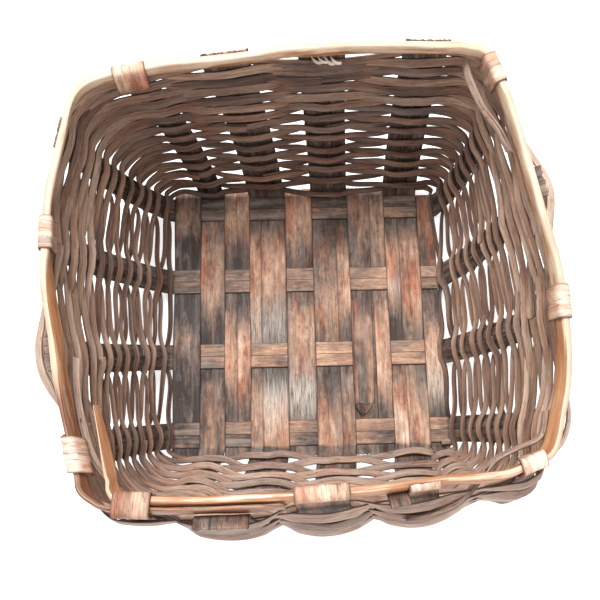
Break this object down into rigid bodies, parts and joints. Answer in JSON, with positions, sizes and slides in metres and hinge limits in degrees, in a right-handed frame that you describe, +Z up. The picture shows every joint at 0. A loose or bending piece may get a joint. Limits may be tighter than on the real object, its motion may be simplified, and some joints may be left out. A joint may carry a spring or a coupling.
{
  "type": "splint basket",
  "caption": "Open square hand-woven wooden splint basket: plaited flat floor, flared wall of flat weavers on upright splint stakes, and a bent wooden rim hoop with stake tips folded over it.",
  "frame": {"origin": "Middle of the basket's bounding box in plan, on the surface that it stands on.", "axes": "+Z up, out of the mouth. +X to the right and +Y away from someone standing at the near side, where the hoop's ends lap."},
  "size_m": [0.3364, 0.3206, 0.188],
  "materials": {
    "stake_splint": "aged brown ash splint, matt",
    "floor_splint": "aged brown ash splint, dusty and matt",
    "weaver_splint": "aged reddish brown splint, matt",
    "rim_hoop": "peeled pole, golden tan, satin worn"
  },
  "bodies": {
    "root": {"rim_hoop": "rim_hoop", "long_stake_1": "stake_splint", "long_stake_2a": "stake_splint", "long_stake_2b": "stake_splint", "long_stake_3a": "stake_splint", "long_stake_3b": "stake_splint", "long_stake_4a": "stake_splint", "long_stake_4b": "stake_splint", "corner_stake": "stake_splint", "cross_stake_1a": "stake_splint", "cross_stake_1b": "stake_splint", "cross_stake_2a": "stake_splint", "cross_stake_2b": "stake_splint", "cross_stake_3a": "stake_splint", "cross_stake_3b": "stake_splint", "cross_stake_4a": "stake_splint", "cross_stake_4b": "stake_splint", "floor_filler_1": "floor_splint", "floor_filler_2a": "floor_splint", "floor_filler_2b": "floor_splint", "floor_filler_3": "floor_splint", "floor_filler_4a": "floor_splint", "floor_filler_4b": "floor_splint", "weaver_01": "weaver_splint", "weaver_02": "weaver_splint", "weaver_03": "weaver_splint", "weaver_04": "weaver_splint", "weaver_05": "weaver_splint", "weaver_06": "weaver_splint", "weaver_07": "weaver_splint", "weaver_08": "weaver_splint", "weaver_09": "weaver_splint", "weaver_10": "weaver_splint", "weaver_11": "weaver_splint", "weaver_12": "weaver_splint", "weaver_13": "weaver_splint", "weaver_14": "weaver_splint", "weaver_15": "weaver_splint", "weaver_16": "weaver_splint", "weaver_17": "weaver_splint", "weaver_18": "weaver_splint", "weaver_19": "weaver_splint", "weaver_20": "weaver_splint", "weaver_21": "weaver_splint", "weaver_22": "weaver_splint", "weaver_23": "weaver_splint", "weaver_24": "weaver_splint"}
  },
  "joints": []
}
